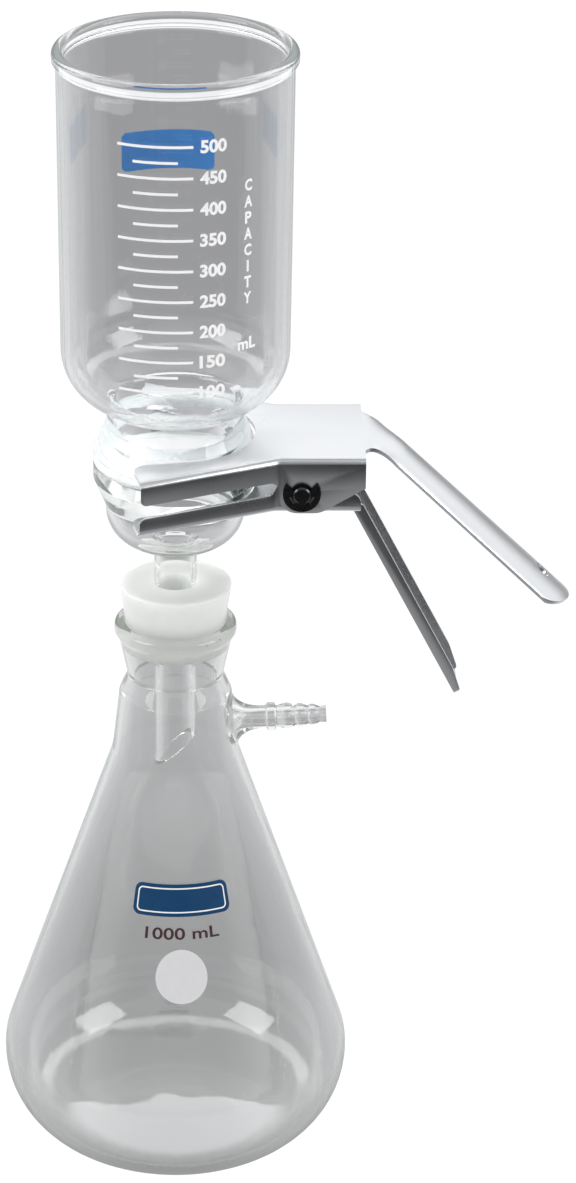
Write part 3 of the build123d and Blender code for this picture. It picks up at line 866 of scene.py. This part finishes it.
def recoat(name, material):
    """Gives its own material to a CAD node that stays in the picture."""
    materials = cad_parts[name].data.materials
    materials.clear()
    materials.append(material)


# matt and white, with a very fine fibrous surface
membrane_paper = finished(
    new_material("membrane_paper"), {"scale": 3000.0, "detail": 6.0, "roughness": 0.7},
    ((0.50, 0.50, 0.51), (0.57, 0.57, 0.58)), roughness=0.85, bump=(0.4, 0.00003))
recoat("membrane_filter", membrane_paper)


# ---- Funnel ------------------------------------------------------------------
# A 500 mL funnel of borosilicate glass, with a ground foot that seals on the membrane.
# Its shoulder is blown round, and its rim is a heavy fire-polished bead.

funnel_low, funnel_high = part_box("funnel")
FUNNEL_FOOT_Z, FUNNEL_TOP = funnel_low.z / MM, funnel_high.z / MM
RIM_RADIUS = funnel_high.x / MM
FUNNEL_RADIUS, FUNNEL_FOOT_RADIUS, FUNNEL_NECK_RADIUS = 41.3, 40.6, 24.7
FUNNEL_SHOULDER, FUNNEL_WALL = 22.5, 2.6
RIM_DEPTH = 5.4              # from the top down to where the bead runs out into the wall

shoulder_z, body_z = FUNNEL_FOOT_Z + 21.8, FUNNEL_FOOT_Z + 28.2
inner_neck = FUNNEL_NECK_RADIUS - FUNNEL_WALL
shoulder_slope = (body_z - shoulder_z) / (FUNNEL_FOOT_RADIUS - FUNNEL_NECK_RADIUS)
shoulder_lift = FUNNEL_WALL * (sqrt(1 + shoulder_slope ** 2) - shoulder_slope)
funnel_section = [
    (DISC_RADIUS, FUNNEL_FOOT_Z + FACE_GAP, 0.3),
    (FLANGE_RADIUS, FUNNEL_FOOT_Z + FACE_GAP, 0.4),
    (FLANGE_RADIUS, FUNNEL_FOOT_Z + FLANGE_THICKNESS - 0.6, 0.8),
    (FUNNEL_NECK_RADIUS, FUNNEL_FOOT_Z + 16, 8),
    (FUNNEL_NECK_RADIUS, shoulder_z, 1.4),
    (FUNNEL_FOOT_RADIUS, body_z, FUNNEL_SHOULDER),
    (FUNNEL_RADIUS, FUNNEL_TOP - RIM_DEPTH, 0.8),
    (RIM_RADIUS, FUNNEL_TOP - RIM_DEPTH + 1.2, 1.2),
    (RIM_RADIUS, FUNNEL_TOP, 2.2),
    (FUNNEL_RADIUS - 3.2, FUNNEL_TOP, 2.0),
    (FUNNEL_RADIUS - 2.4, FUNNEL_TOP - RIM_DEPTH, 2.0),
    (FUNNEL_FOOT_RADIUS - FUNNEL_WALL, body_z + shoulder_lift, FUNNEL_SHOULDER - FUNNEL_WALL),
    (inner_neck, shoulder_z + shoulder_lift, 3),
    (inner_neck, FUNNEL_FOOT_Z + 13, 4),
    (DISC_RADIUS, FUNNEL_FOOT_Z + 7, 3),
]
funnel_glass = glass("funnel_glass", tint=(0.84, 0.90, 0.94), density=12.0, wave=0.10, drawn=0.16)
funnel = turned_piece("funnel_body", funnel_section, funnel_glass, segments=160, longest=2.5)
grind(funnel, FUNNEL_FOOT_Z + FACE_GAP, DISC_RADIUS, FLANGE_RADIUS)
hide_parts("funnel")
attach(funnel, "filter_assembly")


# ---- Scale fired onto the funnel ---------------------------------------------
# White enamel: a line and a number each 50 mL from 100 to 500, a shorter line half way between.
# One generic word and the unit name the scale; a plain blue panel stands on the wall's far side.

SCALE_FIRST_Z, SCALE_PITCH = 319.6, 11.14
LONG_LINE, SHORT_LINE, LINE_WIDTH = 26.4, 15.5, 0.95
LONG_LINE_ANGLE, SHORT_LINE_ANGLE = radians(-10.0), radians(-9.7)
NUMBER_ANGLE, NUMBER_WIDTH, NUMBER_HEIGHT, NUMBER_WEIGHT = radians(18.2), 9.3, 4.7, 0.036
WORD_ANGLE, WORD_TOP_Z, WORD_STEP = radians(37.0), 392.7, 5.85
LETTER_WIDTH = {"C": 3.0, "A": 3.3, "P": 2.7, "I": 0.8, "T": 2.9, "Y": 3.2}
LETTER_HEIGHT, LETTER_WEIGHT = 4.2, 0.034
UNIT_WIDTH, UNIT_HEIGHT, UNIT_WEIGHT, UNIT_Z = 7.6, 4.4, 0.032, 335.0
BACK_PANEL_WIDTH, BACK_PANEL_HEIGHT, BACK_PANEL_Z = 36.0, 14.5, 380.3
BACK_PANEL_ANGLE = pi + 0.07

wall_taper = (FUNNEL_RADIUS - FUNNEL_FOOT_RADIUS) / (FUNNEL_TOP - RIM_DEPTH - body_z)


def funnel_radius(z):
    """Radius of the funnel's slightly tapered body."""
    return FUNNEL_FOOT_RADIUS + (z - body_z) * wall_taper


def scale_tree():
    """Equal marks of ink, one above another, bent round a slightly tapered wall."""
    tree, value = new_tree("scale_marks", {
        "Count": "Int", "First Height": "Float", "Pitch": "Float", "Angle": "Float",
        "Length": "Float", "Width": "Float", "Ink": "Float", "Wall Radius": "Float",
        "Wall Taper": "Float", "Material": "Material",
    })
    size = vector(tree, X=value["Length"], Y=value["Ink"], Z=value["Width"])
    marks = geometry(tree, "InstanceOnPoints", {
        "Points": geometry(tree, "MeshLine", {
            "Count": value["Count"], "Start Location": vector(tree, Z=value["First Height"]),
            "Offset": vector(tree, Z=value["Pitch"]),
        }),
        "Instance": geometry(tree, "MeshCube", {"Size": size, "Vertices X": 22}),
    })
    real = geometry(tree, "RealizeInstances", {"Geometry": marks})
    at = add(tree, "SeparateXYZ", {0: geometry(tree, "InputPosition", {})}).outputs
    climb = maths(tree, "SUBTRACT", at["Z"], value["First Height"])
    wall = maths(tree, "ADD", value["Wall Radius"], product(tree, value["Wall Taper"], climb))
    turn = maths(tree, "ADD", value["Angle"], maths(tree, "DIVIDE", at["X"], wall))
    proud = maths(tree, "ADD", wall, maths(tree, "MULTIPLY", value["Ink"], 0.6))
    radius = maths(tree, "SUBTRACT", proud, at["Y"])
    bent = vector(
        tree,
        X=product(tree, radius, maths(tree, "SINE", turn)),
        Y=product(tree, radius, -1.0, maths(tree, "COSINE", turn)),
        Z=at["Z"])
    moved = geometry(tree, "SetPosition", {"Geometry": real, "Position": bent})
    return coated(tree, moved, value["Material"])


marks_tree = scale_tree()
mark_rows = (
    ("long_scale_lines", 9, SCALE_FIRST_Z, LONG_LINE_ANGLE, LONG_LINE),
    ("short_scale_lines", 8, SCALE_FIRST_Z + SCALE_PITCH / 2, SHORT_LINE_ANGLE, SHORT_LINE),
)
for name, count, first_z, angle, length in mark_rows:
    lines = grown(name, marks_tree, bpy.data.meshes.new(name), {
        "Count": count, "First Height": first_z * MM, "Pitch": SCALE_PITCH * MM, "Angle": angle,
        "Length": length * MM, "Width": LINE_WIDTH * MM, "Ink": INK * MM,
        "Wall Radius": funnel_radius(first_z) * MM, "Wall Taper": wall_taper,
        "Material": white_enamel,
    })
    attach(lines, "filter_assembly")

numbers, words = [], []
for k in range(9):
    number = lettering(str(100 + 50 * k), NUMBER_WIDTH, NUMBER_HEIGHT, NUMBER_WEIGHT)
    numbers.append((number, NUMBER_ANGLE, SCALE_FIRST_Z + k * SCALE_PITCH))
for k, letter in enumerate("CAPACITY"):
    sheet = lettering(letter, LETTER_WIDTH[letter], LETTER_HEIGHT, LETTER_WEIGHT)
    words.append((sheet, WORD_ANGLE, WORD_TOP_Z - k * WORD_STEP))
words.append((lettering("mL", UNIT_WIDTH, UNIT_HEIGHT, UNIT_WEIGHT), WORD_ANGLE, UNIT_Z))
fired_on("scale_numbers", numbers, funnel_radius, white_enamel)
fired_on("scale_words", words, funnel_radius, white_enamel)
back_panel = flat_shape(frame_outline(BACK_PANEL_WIDTH, BACK_PANEL_HEIGHT, PANEL_CORNER))
fired_on("funnel_panel", [(back_panel, BACK_PANEL_ANGLE, BACK_PANEL_Z)],
         funnel_radius, bright_enamel)


# ---- Clamp jaws and handles --------------------------------------------------
# Two jaws pressed from aluminium sheet, their sides folded over for stiffness.
# Each is one piece with its handle, clear anodised to a satin finish after its edges were tumbled.

EDGE = 0.16                  # width of the rounding that tumbling leaves on a cut edge


def tumbled_copy(node, name, material):
    """A merged copy of a folded jaw with its sharp cut edges slightly rounded."""
    made = bmesh.new()
    made.from_mesh(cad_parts[node].data)
    bmesh.ops.remove_doubles(made, verts=made.verts, dist=1e-6)
    bmesh.ops.dissolve_limit(made, angle_limit=radians(0.4), verts=made.verts, edges=made.edges)
    sharp = [e for e in made.edges if e.is_manifold and e.calc_face_angle() > radians(40)]
    bevel = {"offset": EDGE * MM, "segments": 2, "profile": 0.6, "clamp_overlap": True}
    bmesh.ops.bevel(made, geom=sharp, affect="EDGES", **bevel)
    bmesh.ops.triangulate(made, faces=[face for face in made.faces if len(face.verts) > 4])
    mesh = bpy.data.meshes.new(name)
    made.to_mesh(mesh)
    made.free()
    smoothed(mesh, radians(32))
    mesh.materials.clear()
    mesh.materials.append(material)
    piece = placed(name, mesh)
    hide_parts(node)
    return piece


# clear anodised: a soft, even sheen with faint rolling marks and the haze of handling
satin_aluminium = finished(
    new_material("satin_aluminium"), {"scale": 55.0, "detail": 4.0},
    ((0.80, 0.81, 0.825), (0.86, 0.87, 0.885)), roughness=(0.24, 0.33), bump=(0.12, 0.00003),
    grain={"scale": 1.0, "detail": 3.0, "stretch": (60.0, 900.0, 900.0)}, more={"Metallic": 1.0})
upper_jaw = tumbled_copy("clamp_upper_jaw", "upper_jaw_sheet", satin_aluminium)
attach(upper_jaw, "filter_assembly")
lower_jaw = tumbled_copy("clamp_lower_jaw", "lower_jaw_sheet", satin_aluminium)
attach(lower_jaw, "lower_jaw")


# ---- Pivot pin and retaining clips -------------------------------------------
# A turned steel pin through both jaws, with an E-shaped clip pushed into a groove at each end.
# Pin and clips are blackened spring steel with an oily gloss.

black_steel = finished(
    new_material("black_steel"), {"scale": 500.0, "detail": 4.0},
    ((0.003, 0.003, 0.003), (0.010, 0.010, 0.011)), roughness=(0.06, 0.14), bump=(0.1, 0.00002),
    more={"IOR": 1.6})
for name in ("clamp_pivot_pin", "retaining_clip_front", "retaining_clip_rear"):
    recoat(name, black_steel)


# ---- Clamp spring ------------------------------------------------------------
# A torsion spring of bright steel wire, wound round the pin between the jaws' sides.
# Its two legs press the handles apart.

WIRE_RADIUS, COIL_RADIUS, COIL_PITCH, COIL_TURNS = 0.7, 5.2, 1.6, 8
UPPER_LEG_ANGLE, LOWER_LEG_ANGLE = radians(107), radians(267)
UPPER_LEG, LOWER_LEG = 19.5, 15.0
pin_low, pin_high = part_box("clamp_pivot_pin")
PIVOT = (pin_low + pin_high) / 2 / MM


def spring_path(steps=30):
    """The wire's middle line: a straight leg, the coil, and the other straight leg."""
    sweep = COIL_TURNS * 2 * pi + LOWER_LEG_ANGLE - UPPER_LEG_ANGLE
    width = COIL_PITCH * sweep / (2 * pi)
    count = round(steps * sweep / (2 * pi))
    coil = []
    for k in range(count + 1):
        angle = UPPER_LEG_ANGLE + sweep * k / count
        across = width / 2 - width * k / count
        coil.append(PIVOT + Vector((COIL_RADIUS * cos(angle), across, COIL_RADIUS * sin(angle))))
    first = (coil[0] - coil[1]).normalized() * UPPER_LEG
    last = (coil[-1] - coil[-2]).normalized() * LOWER_LEG
    shares = [k / 8 for k in range(1, 9)]
    upper = [coil[0] + first * t for t in shares[::-1]]
    lower = [coil[-1] + last * t for t in shares]
    return [MM * point for point in upper + coil + lower]


def wire_tree():
    """A round wire drawn along a chain of edges."""
    tree, value = new_tree("drawn_wire", {
        "Path": "Geometry", "Wire Radius": "Float", "Sides": "Int", "Material": "Material",
    })
    ring = {"Resolution": value["Sides"], "Radius": value["Wire Radius"]}
    wire = geometry(tree, "CurveToMesh", {
        "Curve": geometry(tree, "MeshToCurve", {"Mesh": value["Path"]}),
        "Profile Curve": geometry(tree, "CurvePrimitiveCircle", ring), "Fill Caps": True,
    })
    return coated(tree, geometry(tree, "RealizeInstances", {"Geometry": wire}), value["Material"])


spring_steel = finished(
    new_material("spring_steel"), {"scale": 1800.0, "detail": 3.0},
    ((0.42, 0.43, 0.45), (0.62, 0.63, 0.65)), roughness=(0.20, 0.36), more={"Metallic": 1.0})
path = spring_path()
chain = bpy.data.meshes.new("spring_path")
chain.from_pydata(path, [(k, k + 1) for k in range(len(path) - 1)], [])
spring = grown("spring_wire", wire_tree(), chain, {
    "Wire Radius": WIRE_RADIUS * MM, "Sides": 12, "Material": spring_steel,
})
smoothed(spring.data, radians(50))
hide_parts("clamp_spring")
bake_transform(spring)


# ---- Floor, light and camera -------------------------------------------------
# A pale bench top runs out in every direction under an even white surround.
# Two window-shaped soft lamps stand in front at the sides; a wide one hangs above and behind.

FLOOR_HALF, FLOOR_Z = 6.0, -0.0004
LAMPS_AIM = (0.0, 0.0, 0.25)
WINDOW_X, WINDOW_Y, WINDOW_Z = 1.6, -0.78, 1.16
WINDOW_SIZE, WINDOW_RADIANCE = (1.15, 1.0), 4.2
OVERHEAD_PLACE, OVERHEAD_SIZE, OVERHEAD_RADIANCE = (0.0, 0.8, 2.0), (3.5, 0.45), 10.0
CAMERA_PLACE, CAMERA_TILT = (0.0, -1.3377, 0.8599), radians(64.6)
CAMERA_LENS, CAMERA_SENSOR, CAMERA_SHIFT = 124.04, 36.0, 0.0951


def band(owner, value, rise, fall, height=1.0):
    """A height between a rise and a fall, each given by the two values that it runs between."""
    ends = ramp(owner, value, *rise, 0.0, height), ramp(owner, value, *fall, 1.0, 0.0)
    return product(owner, *ends)


def by_ray(owner, plain, seen, mirrored, through):
    """One shader for what is seen, one for mirrors, one for glass and a plain one for the rest."""
    path = add(owner, "LightPath").outputs
    mixed = pick(owner, path["Is Camera Ray"], plain, seen)
    mixed = pick(owner, path["Is Glossy Ray"], mixed, mirrored)
    return pick(owner, path["Is Transmission Ray"], mixed, through)


def bench_top():
    """White to the eye, and greyer where it is seen through the glass or mirrored in the metal,
    with a painted pool and painted arcs of light that only the glass shows.
    """
    material = new_material("bench_top")
    place = add(material, "SeparateXYZ", {0: own_place(material)}).outputs
    x, y = place["X"], place["Y"]
    aside = maths(material, "ABSOLUTE", x)
    plain = add(material, "BsdfDiffuse", {"Color": (0.85, 0.85, 0.85, 1.0)}).outputs[0]
    shaded = pick(material, 0.10, glow(material, WHITE, 1.03), plain)

    # through the glass: grey near the flask, and paler behind it and out to the sides
    near = ramp(material, y, 0.05, 0.40, 0.32, 0.48)
    far = ramp(material, y, 0.48, 0.90, 0.0, -0.13)
    beyond = ramp(material, y, 1.42, 1.60, 0.0, 0.65)
    spread = maths(material, "DIVIDE", aside, maths(material, "ADD", y, 0.25))
    beside = ramp(material, spread, 0.04, 0.42, 0.0, 0.36)
    # a painted pool of light under the flask, seen only through the glass, which ends behind its
    # middle on a bowed and rippled line
    back = maths(material, "SUBTRACT", y, 0.012)
    ripple = ramp(material, noise(material, scale=42.0, detail=1.0), 0.3, 0.7, -0.004, 0.004)
    edge = total(material, back, product(material, aside, aside, 3.2), ripple)
    painted_pool = product(material, ramp(material, distance(material, x, back), 0.038, 0.047, 0.30, 0.0),
                   ramp(material, edge, -0.0015, 0.0015, 1.0, 0.0))
    # painted light: narrow bright arcs far off, in front at both sides, seen only through the
    # glass
    out = distance(material, x, y)
    arc = product(material, band(material, out, (1.205, 1.215), (1.25, 1.27), 2.6),
                  band(material, y, (-0.92, -0.84), (-0.12, 0.02)))
    level = total(material, near, far, beyond, beside, painted_pool, arc)

    # in mirrors: dark far in front, dimmer out along +X, and brighter behind
    front = product(material, ramp(material, y, -0.57, -0.46, 0.02, 0.32),
                    ramp(material, x, 0.18, 0.36, 1.0, 0.36))
    ahead = band(material, y, (-0.03, 0.10), (1.3, 2.0), 0.42)
    tone = total(material, front, ahead, ramp(material, y, -0.40, 0.6, 0.0, 0.18))
    add(material, "OutputMaterial", {"Surface": by_ray(
        material, plain, shaded, mirrored=glow(material, (0.96, 0.98, 1.0), tone),
        through=glow(material, (0.975, 0.978, 1.0), level))})
    return material


corners = ((-1, -1), (1, -1), (1, 1), (-1, 1))
floor_corners = [(FLOOR_HALF * x, FLOOR_HALF * y, FLOOR_Z) for x, y in corners]
floor = new_piece("bench", floor_corners, [(0, 1, 2, 3)], bench_top())


def surround():
    """White to the eye; to mirrors and glass, bright above and at the sides and dim low down."""
    world = bpy.data.worlds.new("surround")
    bpy.context.scene.world = world
    world.use_nodes = True
    world.node_tree.nodes.clear()
    coordinates = add(world, "TexCoord").outputs["Generated"]
    way = add(world, "SeparateXYZ", {0: coordinates}).outputs
    y, z = way["Y"], way["Z"]
    aside = maths(world, "ABSOLUTE", way["X"])

    # in mirrors: bright above and behind and at both sides, with a strip high in front
    above = product(world, ramp(world, z, 0.04, 0.40, 0.32, 1.14),
                    ramp(world, y, -0.15, 0.50, 0.26, 1.0))
    strip = product(world, band(world, y, (-0.62, -0.50), (-0.36, -0.24), 0.45),
                    ramp(world, z, 0.5, 0.7, 0.0, 1.0))
    tone = maths(world, "MAXIMUM", total(world, above, strip),
                 ramp(world, aside, 0.66, 0.96, 0.0, 1.05))

    # through the glass: brighter upwards, with a bright ring, and dimmer low at the sides
    around = maths(world, "MAXIMUM", ramp(world, z, -0.05, 0.32, 0.50, 1.0),
                   ramp(world, aside, 0.4, 0.8, 0.5, 0.95))
    tilted = total(world, product(world, y, 0.414), product(world, z, 0.91))
    ring = product(world, ramp(world, y, 0.60, 0.86, 2.6, 0.0),
                   band(world, tilted, (0.46, 0.53), (0.62, 0.70)))
    dim = product(world, ramp(world, aside, 0.22, 0.42, 0.0, 0.42),
                  band(world, z, (0.12, 0.20), (0.40, 0.48)))
    level = maths(world, "SUBTRACT", total(world, around, ring), dim)

    def sky(colour, strength):
        """An even background."""
        return glow(world, colour, strength, kind="Background")

    add(world, "OutputWorld", {"Surface": by_ray(
        world, plain=sky(WHITE, 0.62), seen=sky(WHITE, 1.0),
        mirrored=sky((0.98, 0.99, 1.0), tone), through=sky((0.99, 0.995, 1.0), level))})


surround()


def soft_lamp(name, place, size, radiance):
    """A rectangular soft lamp of even radiance that the camera can't see, turned to the piece."""
    light = bpy.data.lights.new(name, "AREA")
    light.shape = "RECTANGLE"
    light.size, light.size_y = size
    light.energy = radiance * pi * light.size * light.size_y
    lamp = placed(name, light)
    lamp.location = place
    lamp.rotation_euler = (Vector(LAMPS_AIM) - Vector(place)).to_track_quat("-Z", "Y").to_euler()
    lamp.visible_camera = False
    return lamp


for name, side in (("window_left", -1), ("window_right", 1)):
    soft_lamp(name, (side * WINDOW_X, WINDOW_Y, WINDOW_Z), WINDOW_SIZE, WINDOW_RADIANCE)
overhead = soft_lamp("overhead", OVERHEAD_PLACE, OVERHEAD_SIZE, OVERHEAD_RADIANCE)
overhead.visible_transmission = overhead.visible_glossy = False

camera_data = bpy.data.cameras.new("camera")
camera_data.lens, camera_data.sensor_width = CAMERA_LENS, CAMERA_SENSOR
camera_data.shift_x = CAMERA_SHIFT
camera_data.clip_start, camera_data.clip_end = 0.05, 50.0
camera = placed("camera", camera_data)
camera.location = CAMERA_PLACE
camera.rotation_euler = (CAMERA_TILT, 0.0, 0.0)
bpy.context.scene.camera = camera
bpy.context.scene.view_settings.view_transform = "Standard"
